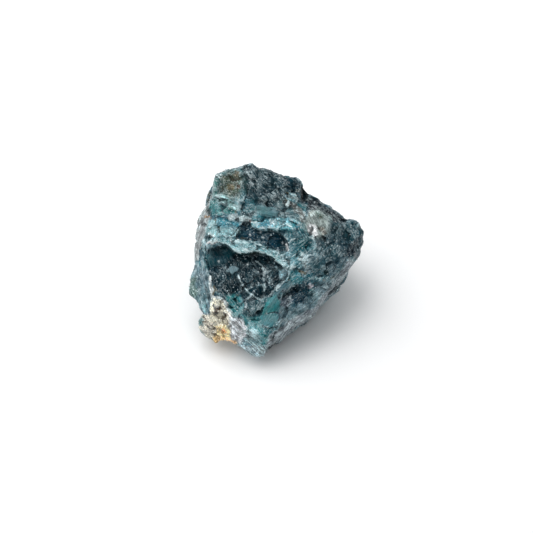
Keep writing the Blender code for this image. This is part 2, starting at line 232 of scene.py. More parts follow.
     [(-14.8, -10.8), (-14.2, -11.3), (-13.6, -10.7), (-13.1, -11.2), (-12.3, -10.7), (-12.2, -11.5),
      (-13.2, -11.9), (-14, -11.7), (-14.5, -12.3)]),
    ("crust", "#7b714f", 0.3, [(-15.1, -14.2), (-14.2, -14.1), (-14.3, -14.9), (-15, -14.9)]),
    ("fibre", "#dedde1", 0.6,
     [(-11.5, -12.3), (-9.8, -13.6), (-8, -14), (-6.5, -15.6), (-7.4, -18.2), (-8.8, -19.7), (-10.7, -18.6),
      (-10.6, -15.4)]),
    ("teal", "#2d5856", 0.4, [(-19, -13), (-17.5, -12.9), (-17.3, -15.6), (-18.6, -15.8)]),
    # walls round the face
    ("rind", "#787c7d", 0.4,
     [(-14.6, 19.4), (-15.3, 15), (-15.9, 12.8), (-15.2, 11), (-15.4, 10), (-16.1, 8.5), (-16.7, 6.5),
      (-17.1, 5.5), (-17.6, 3.5), (-18.4, 0), (-22, -1), (-22, 20)]),
    ("smooth", "#1d2828", 0.5, [(-16.6, 12.9), (-15.7, 12.6), (-15.3, 11.2), (-16.2, 11)]),
    ("rind", "#5a717a", 0.5,
     [(-19, 0), (-18, -1.2), (-16, -2.4), (-15.3, -4), (-15.1, -8), (-15.4, -10.5), (-15.9, -12.6),
      (-17.4, -12.8), (-22, -12), (-22, 0)]),
    ("rind", "#3d5954", 0.9, [(-19.2, -4), (-18.6, -8), (-20, -9.4), (-22, -8), (-22, -4)]),
    ("crushed", "#7db3bb", 0.4, [(-17.4, -10.6), (-16.6, -10.6), (-16.6, -12), (-17.2, -12)]),
    ("rind", "#7d848a", 0.7,
     [(17.6, 0.4), (15.8, -1.7), (14.4, -3.7), (13, -5.5), (11.8, -7.1), (10.6, -8.7), (9.4, -10.3),
      (8.2, -11.3), (6.8, -12.1), (4.8, -13.1), (2.8, -14.3), (1.3, -15.4), (-0.3, -16.8), (-1.6, -18.1),
      (-1.9, -20), (-3, -24), (12, -24), (24, -4)]),
    # painted shadow under the overhang along the lower right edge
    ("rind", "#201818", 0.3,
     [(15.9, -4.6), (14.6, -5.8), (13.3, -7.6), (11.9, -9.7), (10.2, -11.5), (10.8, -12.6), (13, -10),
      (15, -7.4), (16.6, -5)]),
]

# Narrow marks on the face: a finish, a colour, a width and the points along its middle.
MARKS = [
    ("crushed", "#a3b3b9", 0.26, [(-4.7, -0.1), (-3.6, -1.4), (-2.6, -3), (-3.1, -3.9)]),
    ("crushed", "#93a5ab", 0.26, [(-8.9, -3.8), (-6.8, -6.9), (-6, -8.2), (-7.1, -9.5), (-7.1, -11.6)]),
    ("crushed", "#93a5ab", 0.26, [(-6, -8.2), (-3.4, -9.3), (-1.5, -8.2), (0.3, -6.2), (2.1, -4.3)]),
    ("crushed", "#5b7078", 0.22, [(-3.1, -3.9), (-2.5, -5.6), (-2.7, -7.2)]),
    ("crushed", "#5b7078", 0.22, [(-5.4, -1.9), (-3.9, -3.1), (-2.6, -3.0), (-1.2, -2.2)]),
    ("crushed", "#647a82", 0.22, [(-0.6, -2.4), (-1.4, -4.3), (-0.8, -6.2)]),
    ("crushed", "#5b7078", 0.22, [(-6.8, -6.9), (-4.9, -5.8), (-2.5, -5.6)]),
    ("crushed", "#dfe9ea", 0.3, [(-15.9, 6.4), (-15.2, 5.9), (-14.4, 5.7)]),
    ("crushed", "#c9b3ae", 0.4, [(-15.6, 4.3), (-14.8, 4.1), (-14, 4.4)]),
    ("crushed", "#d8dedd", 0.45,
     [(-15.3, -4), (-15.3, -6.4), (-15.2, -8.6), (-13.2, -8.8), (-11.7, -10), (-11, -12)]),
    ("crushed", "#d4e6ea", 0.3, [(-1.2, 9.6), (-1, 8.4)]),
    ("crushed", "#cfe2e6", 0.25, [(-0.4, 9.4), (-0.3, 8.2)]),
    ("navy", "#102227", 0.3, [(-3.3, -15.4), (-1.6, -15.9), (0.4, -15.6)]),
    ("navy", "#1a2025", 0.35, [(0.1, -16.8), (-0.5, -17.9), (-1.1, -18.9)]),
    ("navy", "#1c2124", 0.4, [(0.2, -19.4), (-0.9, -20.5), (-2, -21.4)]),
    ("crust", "#1f170d", 0.4, [(-14.7, -10.5), (-14.3, -11.1)]),
    ("crust", "#1f170d", 0.4, [(-13.8, -11), (-13.4, -11.5)]),
    ("crust", "#1f170d", 0.4, [(-13, -10.9), (-12.5, -11.3)]),
    ("crust", "#1f170d", 0.4, [(-14.5, -11.9), (-14, -12.4)]),
    ("crust", "#8a6a4a", 0.4, [(-16.6, 10.4), (-16, 10.1), (-15.6, 10.3)]),
    ("crust", "#3a2e22", 0.3, [(-17.2, -13.4), (-16.8, -14.4)]),
    ("crust", "#4a3c2a", 0.3, [(-16.4, -15.2), (-15.6, -16)]),
    ("crust", "#33281e", 0.35, [(-12.2, -12.6), (-11.9, -13.4)]),
]

# Painted highlights: single spots painted pale where crystal faces catch the light.
PAINTED_GLINTS = [
    (-13.5, -0.2), (-6.7, -0.9), (-2.7, -2.7), (-9, 7.1), (-6.1, 6), (-3.6, 6.8), (-3.2, 5.5), (-6.1, 5),
    (-10.5, 4.6), (-7.1, 2.6), (5.2, 8.3), (3.2, 8), (-8.9, 4.9), (-0.8, 8.9), (-1.6, 7.9),
]
PAINTED_GLINT_SIZE = 0.3
PAINTED_GLINT_COLOUR = "#eef4f4"


def linear(hex_colour):
    """The linear values of an sRGB hex colour, with a 1 for full cover after them."""
    values = [int(hex_colour[i:i + 2], 16) / 255 for i in (1, 3, 5)]
    return [v / 12.92 if v <= 0.04045 else ((v + 0.055) / 1.055) ** 2.4 for v in values] + [1.0]


# What the names of the kinds of nodes may begin with.
KINDS_BEGIN = ("ShaderNode", "GeometryNode", "FunctionNode", "Node")


def add(tree, kind, inputs=(), **settings):
    """Adds a node with its settings, and its inputs in their order or by name: each is set to a value, or
    fed from a socket or from a node's first output."""
    node = tree.nodes.new(next(first + kind for first in KINDS_BEGIN if hasattr(bpy.types, first + kind)))
    for name, value in settings.items():
        setattr(node, name, value)
    for key, value in inputs.items() if isinstance(inputs, dict) else enumerate(inputs):
        if isinstance(key, int):
            socket = node.inputs[key]
        else:
            socket = next(s for s in node.inputs if s.name == key and not s.is_unavailable)
        if isinstance(value, bpy.types.Node):
            value = next(s for s in value.outputs if not s.is_unavailable)
        if isinstance(value, bpy.types.NodeSocket):
            tree.links.new(value, socket)
        else:
            socket.default_value = value
    return node


def in_face_frame(points):
    """World points, in metres, in the face frame, in millimetres."""
    return points / MM @ FACE_TURN + SPOT_IN_FACE


def in_world(face_points):
    """Face frame points, in millimetres, in the world, in metres."""
    return (np.array(face_points) - SPOT_IN_FACE) @ FACE_TURN.T * MM


def positions(mesh):
    """Where a mesh's points lie, one to a row."""
    points = np.empty(len(mesh.vertices) * 3)
    mesh.vertices.foreach_get("co", points)
    return points.reshape(-1, 3)


def step_up(low, high, values):
    """0 below low, 1 above high and smooth between."""
    t = np.clip((values - low) / (high - low), 0, 1)
    return t * t * (3 - 2 * t)


def distance_to_line(points, ends):
    """How far each point lies from a line through these ends."""
    nearest = np.full(len(points), np.inf)
    for a, b in zip(ends[:-1], ends[1:]):
        a, b = np.array(a, float), np.array(b, float)
        along = np.clip((points - a) @ (b - a) / ((b - a) @ (b - a)), 0, 1)
        nearest = np.minimum(nearest, np.linalg.norm(points - a - along[:, None] * (b - a), axis=1))
    return nearest


def inside(points, outline):
    """How far each point lies inside the outline, negative outside it."""
    within = np.zeros(len(points), bool)
    for (ax, ay), (bx, by) in zip(outline, outline[1:] + outline[:1]):
        crosses = (ay > points[:, 1]) != (by > points[:, 1])
        rise = (by - ay) or 1.0
        within ^= crosses & (points[:, 0] < ax + (points[:, 1] - ay) / rise * (bx - ax))
    return np.where(within, 1, -1) * distance_to_line(points, outline + outline[:1])


# How fast a swirl's finer layers fade, how much finer each is than the last and how many there are.
SWIRL = (0.6, 2.1, 4)


def ripple(points, size, seed):
    """A smooth random vector at each point, for bumps of this size."""
    return np.array([noise.noise_vector(Vector(p) / size + Vector((seed, 0, 0))) for p in points])


def swirl(points, size, seed):
    """A smooth random number at each point, with finer detail on top."""
    offset = Vector((seed, seed, 0))
    return np.array([noise.fractal(Vector(p) / size + offset, *SWIRL) for p in points])


def new_object(data, name):
    """A new object in the scene, of a mesh, a light or a camera."""
    obj = bpy.data.objects.new(name, data)
    bpy.context.scene.collection.objects.link(obj)
    return obj


def settled(obj, name):
    """A plain mesh made from this object and its modifiers, which takes the object's place."""
    evaluated = obj.evaluated_get(bpy.context.evaluated_depsgraph_get())
    made = new_object(bpy.data.meshes.new_from_object(evaluated), name)
    bpy.data.objects.remove(obj)
    return made


def set_attribute(mesh, name, kind, values):
    """Writes one value for each point of a mesh."""
    field = {"FLOAT": "value", "FLOAT_VECTOR": "vector", "FLOAT_COLOR": "color"}[kind]
    attribute = mesh.attributes.get(name) or mesh.attributes.new(name, kind, "POINT")
    attribute.data.foreach_set(field, np.ascontiguousarray(values, np.float32).ravel())


# Broad patches that cover the whole lump, under the patches of the face: a finish, a colour, the size of
# the patches in millimetres, how much of the surface they leave bare and a seed.
GROUND = ("slate", "#2f4f5b")
GROUNDS = [
    ("teal", "#22555e", 8.0, 0.12, 3.0),
    ("navy", "#0d2e3a", 6.5, 0.12, 11.0),
    ("rind", "#5c6c74", 9.0, 0.26, 19.0),
    ("crushed", "#56808a", 4.5, 0.28, 27.0),
    ("stain", "#5c5640", 5.0, 0.46, 35.0),
]
GROUND_EDGE = 0.12

# Between these depths, in millimetres, the face's patches give way to the broad ones.
FACE_ENDS = (-11.0, -7.5)

# Darker blotches over the walls below the face: a finish, a colour, their size in millimetres, how much
# they leave bare, a seed, how strong they are and the depths between which they come in.
WALL_BLOTCHES = ("slate", "#3a555e", 3.2, 0.02, 43.0, 0.65)
WALL_BEGINS = (-9.5, -6.5)

# How patches wander from their outlines: the size of each ripple, its seed and how far it carries them,
# in millimetres. The ends of the face and the courses of fibres wander twice as far.
RIPPLES = ((1.6, 0.0, 0.55), (0.6, 7.0, 0.25))

# Which way fibres and streaks run: places on the face and the direction at each, which holds until
# another place is nearer.
COURSES = [
    ((-8, 18), (0.5, -0.87)), ((0, 17), (0.8, -0.6)), ((8, 14), (0.75, -0.66)), ((14, 9), (0.7, -0.71)),
    ((-10, 12), (0.9, -0.44)), ((0, 9), (0.98, -0.17)), ((8, 8), (0.55, -0.83)), ((-9, 5), (0.93, -0.36)),
    ((0, 1), (0.93, -0.37)), ((6, 2), (0.8, 0.6)), ((13, 2), (0.6, 0.8)), ((18, 5), (0.35, -0.94)),
    ((-12, 0), (0.4, -0.92)), ((-5, -4), (0.55, -0.83)), ((2, -4), (0.75, 0.66)), ((6, -7), (0.77, 0.64)),
    ((10, -4), (0.78, 0.62)), ((14, -6), (0.72, 0.69)), ((8, -12), (0.78, 0.62)), ((0, -17), (0.6, 0.8)),
    ((-18, 8), (0.3, 0.95)), ((-19, 0), (0.16, 0.99)), ((-17, -7), (0.3, -0.95)), ((-9, -15), (0.62, -0.79)),
    ((-5, -19), (0.72, -0.69)), ((-10, -10), (0.6, -0.8)), ((-2, -12), (0.5, 0.87)),
]


def courses(points):
    """The direction of the fibres at each point, across the face frame."""
    places = np.array([place for place, way in COURSES], float)
    gaps = np.linalg.norm(points[:, None, :2] - places, axis=2)
    return np.array([way for place, way in COURSES], float)[gaps.argmin(axis=1)]


def paint(mesh):
    """Lays the patches on the mesh, as its tint and the traits of its finishes."""
    points = in_face_frame(positions(mesh))
    drift = sum(ripple(points, size, seed) * far for size, seed, far in RIPPLES)
    flat = (points + drift)[:, :2]
    front = step_up(*FACE_ENDS, points[:, 2] + 2 * drift[:, 2])
    tint = np.tile(linear(GROUND[1]), (len(points), 1))
    traits = np.tile(FINISHES[GROUND[0]], (len(points), 1))

    def lay(finish, colour, weight):
        """Mixes a finish and its colour over what lies there, by these weights."""
        tint[:] += weight[:, None] * (np.array(linear(colour)) - tint)
        traits[:] += weight[:, None] * (np.array(FINISHES[finish]) - traits)

    for finish, colour, size, bare, seed in GROUNDS:
        lay(finish, colour, step_up(bare, bare + GROUND_EDGE, swirl(points, size, seed)))
    for finish, colour, soft, outline in PATCHES:
        lay(finish, colour, front * step_up(-soft / 2, soft / 2, inside(flat, outline)))
    finish, colour, size, bare, seed, most = WALL_BLOTCHES
    wall = most * (1 - step_up(*WALL_BEGINS, points[:, 2]))
    lay(finish, colour, wall * step_up(bare, bare + GROUND_EDGE, swirl(points, size, seed)))
    for finish, colour, width, ends in MARKS:
        lay(finish, colour, front * step_up(-width, -width / 3, -distance_to_line(flat, ends)))
    # painted highlights, laid as pale spots in the colour
    for spot in PAINTED_GLINTS:
        reach = np.linalg.norm(points[:, :2] - spot, axis=1)
        lay("crushed", PAINTED_GLINT_COLOUR, front * step_up(-PAINTED_GLINT_SIZE, -PAINTED_GLINT_SIZE / 3, -reach))
    set_attribute(mesh, "tint", "FLOAT_COLOR", tint)
    for name, values in zip(TRAITS, traits.T):
        set_attribute(mesh, name, "FLOAT", values)
    ways = courses(points + 2 * drift)
    across = points[:, 0] * ways[:, 1] - points[:, 1] * ways[:, 0]
    along = (points[:, :2] * ways).sum(axis=1)
    set_attribute(mesh, "course", "FLOAT_VECTOR", np.column_stack((across, along, points[:, 2])))
    ways = np.column_stack((ways, np.zeros(len(ways)))) @ FACE_TURN.T
    set_attribute(mesh, "way", "FLOAT_VECTOR", ways)


def new_tree(name, kinds):
    """A Geometry Nodes tree that works on a surface, with more inputs of these kinds, and its inputs."""
    tree = bpy.data.node_groups.new(name, "GeometryNodeTree")
    for kind, titles in {"Geometry": ["Surface"], "Material": ["Material"], **kinds}.items():
        for title in titles:
            tree.interface.new_socket(title, in_out="INPUT", socket_type="NodeSocket" + kind)
    tree.interface.new_socket("Stone", in_out="OUTPUT", socket_type="NodeSocketGeometry")
    return tree, add(tree, "GroupInput").outputs


def finish_tree(tree, shape, material):
    """Ends a tree: instances made real, the material set and the result handed out."""
    real = add(tree, "RealizeInstances", {"Geometry": shape})
    dressed = add(tree, "SetMaterial", {"Geometry": real, "Material": material})
    add(tree, "GroupOutput", [dressed])


def grown(surface, name, tree, sizes):
    """What a tree makes of a surface with these sizes, as a plain mesh of its own."""
    obj = new_object(surface.data, name + "_source")
    modifier = obj.modifiers.new(name, "NODES")
    modifier.node_group = tree
    for item in tree.interface.items_tree:
        if item.in_out == "INPUT" and item.name in sizes:
            modifier[item.identifier] = sizes[item.name]
    return settled(obj, name)


# The breaks in the surface: how wide the flat faces of blocks and of grains are, how steeply they tilt
# and how far they step, and how wide, long and deep the grooves between fibres are. The grooves' width
# and length are in millimetres, as the fibres' course is.
BREAKS = {
    "Block size": 3.0 * MM, "Block tilt": 0.72, "Block step": 0.22 * MM,
    "Grain size": 0.9 * MM, "Grain tilt": 0.4, "Grain step": 0.05 * MM,
    "Groove width": 0.5, "Groove length": 5.0, "Groove depth": 0.32 * MM, "Normal passes": 8, "Seed": 4,
}
SEED_STRIDE = (0.0173, 0.0311, 0.0127)


def flat_breaks(tree, place, size, tilt, step):
    """The height of a surface broken into flat, tilted faces that meet along ridges."""
    heights = []
    for nearest in ("F1", "F2"):
        scale = add(tree, "Math", [1.0, size], operation="DIVIDE")
        cell = add(tree, "TexVoronoi", {"Vector": place, "Scale": scale}, feature=nearest)
        lean = add(tree, "VectorMath", [cell.outputs["Color"], (0.5, 0.5, 0.5)], operation="SUBTRACT")
        reach = add(tree, "VectorMath", [place, cell.outputs["Position"]], operation="SUBTRACT")
        slope = add(tree, "VectorMath", [lean, reach], operation="DOT_PRODUCT")
        steep = add(tree, "Math", [slope.outputs["Value"], tilt], operation="MULTIPLY")
        tone = add(tree, "SeparateXYZ", [cell.outputs["Color"]])
        level = add(tree, "Math", [tone, 0.5], operation="SUBTRACT")
        heights.append(add(tree, "Math", [level, step, steep], operation="MULTIPLY_ADD"))
    return add(tree, "Math", heights, operation="MINIMUM")


def broken_surface():
    """A Geometry Nodes tree that breaks a smooth lump's surface into flat faces and fibres."""
    tree, given = new_tree("broken surface", {
        "Float": [title for title, value in BREAKS.items() if isinstance(value, float)],
        "Int": ["Normal passes", "Seed"]})
    here = add(tree, "InputPosition")
    shift = add(tree, "VectorMath", {0: SEED_STRIDE, "Scale": given["Seed"]}, operation="SCALE")
    place = add(tree, "VectorMath", [here, shift], operation="ADD").outputs[0]
    total = 0.0
    for kind in ("Block", "Grain"):
        height = flat_breaks(tree, place, *(given[kind + part] for part in (" size", " tilt", " step")))
        total = add(tree, "Math", [height, total], operation="ADD")
    depth = add(tree, "InputNamedAttribute", {"Name": "depth"})
    scaled = add(tree, "Math", [total, depth], operation="MULTIPLY")
    # grooves between fibres, drawn out along their course
    course = add(tree, "InputNamedAttribute", {"Name": "course"}, data_type="FLOAT_VECTOR")
    size = add(tree, "CombineXYZ", [given["Groove width"], given["Groove length"], given["Groove length"]])
    drawn = add(tree, "VectorMath", [course, size], operation="DIVIDE")
    grooves = add(tree, "TexNoise", {"Vector": drawn, "Scale": 1.0, "Detail": 2.0})
    groove = add(tree, "Math", [grooves, 0.5], operation="SUBTRACT")
    fibres = add(tree, "InputNamedAttribute", {"Name": "fibres"})
    fibrous = add(tree, "Math", [groove, fibres], operation="MULTIPLY")
    whole = add(tree, "Math", [fibrous, given["Groove depth"], scaled], operation="MULTIPLY_ADD")
    normal = add(tree, "InputNormal")
    even = add(tree, "BlurAttribute", {"Value": normal, "Iterations": given["Normal passes"]},
               data_type="FLOAT_VECTOR")
    out = add(tree, "VectorMath", [even], operation="NORMALIZE")
    offset = add(tree, "VectorMath", {0: out, "Scale": whole}, operation="SCALE")
    moved = add(tree, "SetPosition", {"Geometry": given["Surface"], "Offset": offset})
    finish_tree(tree, moved, given["Material"])
    return tree


# Where the lump swells a little past its solid: the middle of each swelling in the face frame, how far
# it reaches and how far it swells, in millimetres.
SWELLINGS = [
    ((-17.0, 8.4, -4.0), 7.5, (-1.5, 0.2, 0.0)),
    ((-19.2, -7.5, -8.0), 6.0, (-1.0, -0.2, 0.0)),
    ((-4.0, -22.3, -3.0), 4.0, (0.0, -0.8, 0.0)),
    ((4.5, 18.5, -2.0), 4.5, (0.4, 0.6, 0.0)),
    ((-14.0, 20.0, -1.5), 3.5, (-0.25, 0.15, 0.0)),
]


def swell(mesh):
    """Moves the surface out to its swellings."""
    points = in_face_frame(positions(mesh))
    for middle, reach, push in SWELLINGS:
        near = np.clip(1 - ((points - middle) ** 2).sum(axis=1) / reach ** 2, 0, 1) ** 2
        points += near[:, None] * push
    mesh.vertices.foreach_set("co", in_world(points).ravel())


# Points of the solid nearer each other than this, in metres, are one point.
SAME_POINT = 1e-6

# How finely the lump's surface is remade, in millimetres, how strongly and how often it is eased, how
# many triangles are kept and from which angle on an edge is sharp.
SURFACE_STEP = 0.2
EASING, EASING_PASSES = 0.5, 2
MOST_TRIANGLES = 196000
SHARP_EDGE = math.radians(28)

# Above the floor, the breaks reach their full depth between these heights, in metres.
FOOT_FREE = (0.0001, 0.0012)

# What stands out of the surface is told from an evened one: how often that is evened out, and how much
# of its own place a point keeps each time.
EVENING_PASSES = 14
KEPT_PLACE = 0.3


def smooth_lump():
    """The part's own solid, remade with a fine, even surface that is painted with the patches."""
    bm = bmesh.new()
    bm.from_mesh(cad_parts[STONE].data)
    bmesh.ops.remove_doubles(bm, verts=bm.verts, dist=SAME_POINT)
    mesh = bpy.data.meshes.new("lump")
    bm.to_mesh(mesh)
    bm.free()
    lump = new_object(mesh, "lump")
    even = lump.modifiers.new("even surface", "REMESH")
    even.mode = "VOXEL"
    even.voxel_size = SURFACE_STEP * MM
    soft = lump.modifiers.new("soft facets", "SMOOTH")
    soft.factor = EASING
    soft.iterations = EASING_PASSES
    lump = settled(lump, "lump")
    swell(lump.data)
    paint(lump.data)
    heights = positions(lump.data)[:, 2]
    depth = np.empty(len(heights))
    lump.data.attributes["depth"].data.foreach_get("value", depth)
    set_attribute(lump.data, "depth", "FLOAT", depth * step_up(*FOOT_FREE, heights))
    return lump


def stone_body(material):
    """The lump, with a surface that is broken as the real one is."""
    lump = smooth_lump()
    broken = grown(lump, "lump_broken", broken_surface(), {**BREAKS, "Material": material})
    bpy.data.objects.remove(lump)
    fewer = broken.modifiers.new("fewer faces", "DECIMATE")
    fewer.ratio = min(1.0, MOST_TRIANGLES / (2 * len(broken.data.polygons)))
    body = settled(broken, "stone_body")
    points = positions(body.data)
    points[:, 2] = np.maximum(points[:, 2], 0)
    body.data.vertices.foreach_set("co", points.ravel())
    paint(body.data)
    edges_and_hollows(body.data)
    body.data.shade_smooth()
    body.data.set_sharp_from_angle(angle=SHARP_EDGE)
    return body


def edges_and_hollows(mesh):
    """Stores how far each point stands out of the surface round it, or lies below it, in millimetres."""
    points = positions(mesh)
    edges = np.empty(len(mesh.edges) * 2, np.int32)
    mesh.edges.foreach_get("vertices", edges)
    a, b = edges.reshape(-1, 2).T
    count = np.bincount(a, minlength=len(points)) + np.bincount(b, minlength=len(points))
    smooth = points.copy()
    for _ in range(EVENING_PASSES):
        total = np.zeros_like(smooth)
        for axis in range(3):
            near_a = np.bincount(a, smooth[b, axis], len(points))
            total[:, axis] = near_a + np.bincount(b, smooth[a, axis], len(points))
        smooth = KEPT_PLACE * smooth + (1 - KEPT_PLACE) * total / count[:, None]
    normals = np.empty(len(points) * 3)
    mesh.vertex_normals.foreach_get("vector", normals)
    stands = ((points - smooth) * normals.reshape(-1, 3)).sum(axis=1) / MM
    set_attribute(mesh, "stands", "FLOAT", stands)


# Layers of broken crystals set into the surface: the trait they follow, how many lie on a square
# millimetre where that trait is full, their size in millimetres, how far they lean in degrees, how much
# their tones differ, how much paler than the surface they are, and a seed.
GRAIN_LAYERS = {
    "glassy_grains": ("flecks", 4.5, 0.28, 14, 0.45, 0.04, 3),
    "pale_grains": ("frost", 5.0, 0.3, 18, 0.3, 0.5, 5),
    "ochre_crumbs": ("crumbs", 14.0, 0.3, 60, 0.4, 0.3, 8),
}

# White fibres laid along the surface: how many lie on a square millimetre of fibrous ground, how long and
# wide they are, how far they stray from their course, how much their tones differ, how much paler than
# the surface they are, and a seed.
WHITE_FIBRES = {
    "Most fibres": 14.0 / MM ** 2, "Length": 1.1 * MM, "Width": 0.07 * MM,
    "Stray": math.tan(math.radians(5)), "Tone spread": 0.3, "Paler": 0.8, "Seed": 12,
}

# How small and how large grains and fibres come, as shares of their size in each direction, and how
# fibrous the ground is where fibres begin.
GRAIN_SHARES = {"Min": (0.5, 0.5, 0.3), "Max": (1.4, 1.1, 0.75)}
FIBRE_SHARES = {"Min": (0.6, 0.6, 0.4), "Max": (1.4, 1.4, 1.5)}
FIBROUS = 0.7

# The colour of the palest grains and fibres, and how far above the floor they begin, in millimetres.
PALE_GRAIN = "#dfeaea"
FLOOR_GAP = 0.6

# The inputs that grains and fibres share.
SHARED = {"Float": ["Tone spread", "Paler", "Floor gap"], "Color": ["Pale colour"], "Int": ["Seed"]}


def placed_on(tree, given, crowd):
    """Random spots on the surface, clear of the floor, with as many on each part as this crowd."""
    here = add(tree, "InputPosition")
    height = add(tree, "SeparateXYZ", [here])
    clear = add(tree, "Compare", {"A": height.outputs[2], "B": given["Floor gap"]},
                data_type="FLOAT", operation="GREATER_THAN")
    return add(tree, "DistributePointsOnFaces",
               {"Mesh": given["Surface"], "Selection": clear, "Density": crowd, "Seed": given["Seed"]})


def toned(tree, given, spots):
    """The same spots with a tint of their own each: lighter, darker or paler than the surface."""
    tint = add(tree, "InputNamedAttribute", {"Name": "tint"}, data_type="FLOAT_COLOR")
    least = add(tree, "Math", [1.0, given["Tone spread"]], operation="SUBTRACT")
    most = add(tree, "Math", [1.0, given["Tone spread"]], operation="ADD")
    tone = add(tree, "RandomValue", {"Min": least, "Max": most, "Seed": given["Seed"]})
    own = add(tree, "VectorMath", {0: tint, "Scale": tone}, operation="SCALE")
    lot = add(tree, "RandomValue", {"Min": 0.0, "Max": 1.0, "Seed": given["Seed"]})
    share = add(tree, "Math", [lot, given["Paler"]], operation="MULTIPLY")
    mixed = add(tree, "Mix", {"Factor": share, "A": own, "B": given["Pale colour"]}, data_type="RGBA")
    return add(tree, "StoreNamedAttribute",
               {"Geometry": spots.outputs["Points"], "Name": "tint", "Value": mixed},
               data_type="FLOAT_COLOR", domain="POINT")


def grain_layer():
    """A Geometry Nodes tree that sets broken crystals into a surface where one of its traits is strong."""
    titles = ["Most grains", "Grain size", "Lean", *SHARED["Float"]]
    tree, given = new_tree("grain layer", {**SHARED, "String": ["Trait"], "Float": titles})
    trait = add(tree, "InputNamedAttribute", {"Name": given["Trait"]})
    strong = add(tree, "Math", [trait, trait], operation="MULTIPLY")
    crowd = add(tree, "Math", [strong, given["Most grains"]], operation="MULTIPLY")
    spots = placed_on(tree, given, crowd)
    # broken crystals: a six-sided prism, as apatite grows, a cleaved block and a wedge
    prism = add(tree, "MeshCylinder", {"Vertices": 6, "Radius": 0.5, "Depth": 1.0})
    block = add(tree, "MeshCube", {"Size": (0.95, 0.75, 0.8)})
    wedge = add(tree, "MeshCone", {"Vertices": 4, "Radius Top": 0.2, "Radius Bottom": 0.6, "Depth": 0.8})
    kinds = add(tree, "JoinGeometry")
    for kind in (prism, block, wedge):
        held = add(tree, "GeometryToInstance", {"Geometry": kind})
        tree.links.new(held.outputs[0], kinds.inputs[0])
    # leaning either way and turned any way round
    back = add(tree, "VectorMath", {0: (-1, -1, 0), "Scale": given["Lean"]}, operation="SCALE")
    forth = add(tree, "VectorMath", {0: (1, 1, 0), "Scale": given["Lean"]}, operation="SCALE")
    round_about = add(tree, "VectorMath", [forth, (0, 0, 2 * math.pi)], operation="ADD")
    lean = add(tree, "RandomValue", {"Min": back, "Max": round_about, "Seed": given["Seed"]},
               data_type="FLOAT_VECTOR")
    leaning = add(tree, "EulerToRotation", {"Euler": lean})
    turned = add(tree, "RotateRotation",
                 {"Rotation": spots.outputs["Rotation"], "Rotate By": leaning}, rotation_space="LOCAL")
    shape = add(tree, "RandomValue", {**GRAIN_SHARES, "Seed": given["Seed"]}, data_type="FLOAT_VECTOR")
    scale = add(tree, "VectorMath", {0: shape, "Scale": given["Grain size"]}, operation="SCALE")
    which = add(tree, "RandomValue", {"Min": 0, "Max": 2, "Seed": given["Seed"]}, data_type="INT")
    grains = add(tree, "InstanceOnPoints",
                 {"Points": toned(tree, given, spots), "Instance": kinds, "Pick Instance": True,
                  "Instance Index": which, "Rotation": turned, "Scale": scale})
    finish_tree(tree, grains, given["Material"])
    return tree


def fibre_layer():
    """A Geometry Nodes tree that lays straight fibres along a surface where it is fibrous."""
    titles = ["Most fibres", "Length", "Width", "Stray", *SHARED["Float"]]
    tree, given = new_tree("fibre layer", {**SHARED, "Float": titles})
    trait = add(tree, "InputNamedAttribute", {"Name": "fibres"})
    strong = add(tree, "MapRange", {"Value": trait, "From Min": FIBROUS, "From Max": 1.0})
    crowd = add(tree, "Math", [strong, given["Most fibres"]], operation="MULTIPLY")
    spots = placed_on(tree, given, crowd)
    # the course, laid flat on the surface
    way = add(tree, "InputNamedAttribute", {"Name": "way"}, data_type="FLOAT_VECTOR")
    up = spots.outputs["Normal"]
    rise = add(tree, "VectorMath", [way, up], operation="DOT_PRODUCT")
    lift = add(tree, "VectorMath", {0: up, "Scale": rise.outputs["Value"]}, operation="SCALE")
    level = add(tree, "VectorMath", [way, lift], operation="SUBTRACT")
    stray = add(tree, "RandomValue",
                {"Min": (-1, -1, -1), "Max": (1, 1, 1), "Seed": given["Seed"]}, data_type="FLOAT_VECTOR")
    strayed = add(tree, "VectorMath", {0: stray, "Scale": given["Stray"]}, operation="SCALE")
    course = add(tree, "VectorMath", [level, strayed], operation="ADD")
    turned = add(tree, "AlignRotationToVector", {"Vector": course}, axis="Z")
    rod = add(tree, "MeshCylinder", {"Vertices": 4, "Radius": 0.5, "Depth": 1.0})
    slim = add(tree, "CombineXYZ", [given["Width"], given["Width"], given["Length"]])
    spread = add(tree, "RandomValue", {**FIBRE_SHARES, "Seed": given["Seed"]}, data_type="FLOAT_VECTOR")
    scale = add(tree, "VectorMath", [slim, spread], operation="MULTIPLY")
    rods = add(tree, "InstanceOnPoints",
               {"Points": toned(tree, given, spots), "Instance": rod, "Rotation": turned, "Scale": scale})
    finish_tree(tree, rods, given["Material"])
    return tree


def loose_pieces(body, material):
    """The grains and fibres that lie in the lump's surface, each layer as one piece."""
    pieces = []
    shared = {"Pale colour": linear(PALE_GRAIN), "Floor gap": FLOOR_GAP * MM, "Material": material}
    tree = grain_layer()
    for name, (trait, most, size, lean, spread, paler, seed) in GRAIN_LAYERS.items():
        sizes = {"Trait": trait, "Most grains": most / MM ** 2, "Grain size": size * MM,
                 "Lean": math.radians(lean), "Tone spread": spread, "Paler": paler, "Seed": seed}
        pieces.append(grown(body, name, tree, {**shared, **sizes}))
    pieces.append(grown(body, "white_fibres", fibre_layer(), {**shared, **WHITE_FIBRES}))
    return pieces


# The stone's cells: how wide whole crystals, the broken grains in them and the small faces that get
# painted glints are, in millimetres.
CELLS = {"crystal": 1.0, "grain": 0.45, "face": 0.27}

# The stone's random patterns: how big each is, in millimetres, how many finer layers lie on it and how
# rough it is.
NOISES = {
    "cloud": (3.0, 5.0, 0.6), "dust": (0.25, 3.0, 0.5), "drift": (3.4, 3.0, 0.5), "field": (3.0, 2.0, 0.5),
    "speck": (0.6, 4.0, 0.75), "bend": (1.6, 3.0, 0.5), "cracked": (2.6, 1.0, 0.5),
}

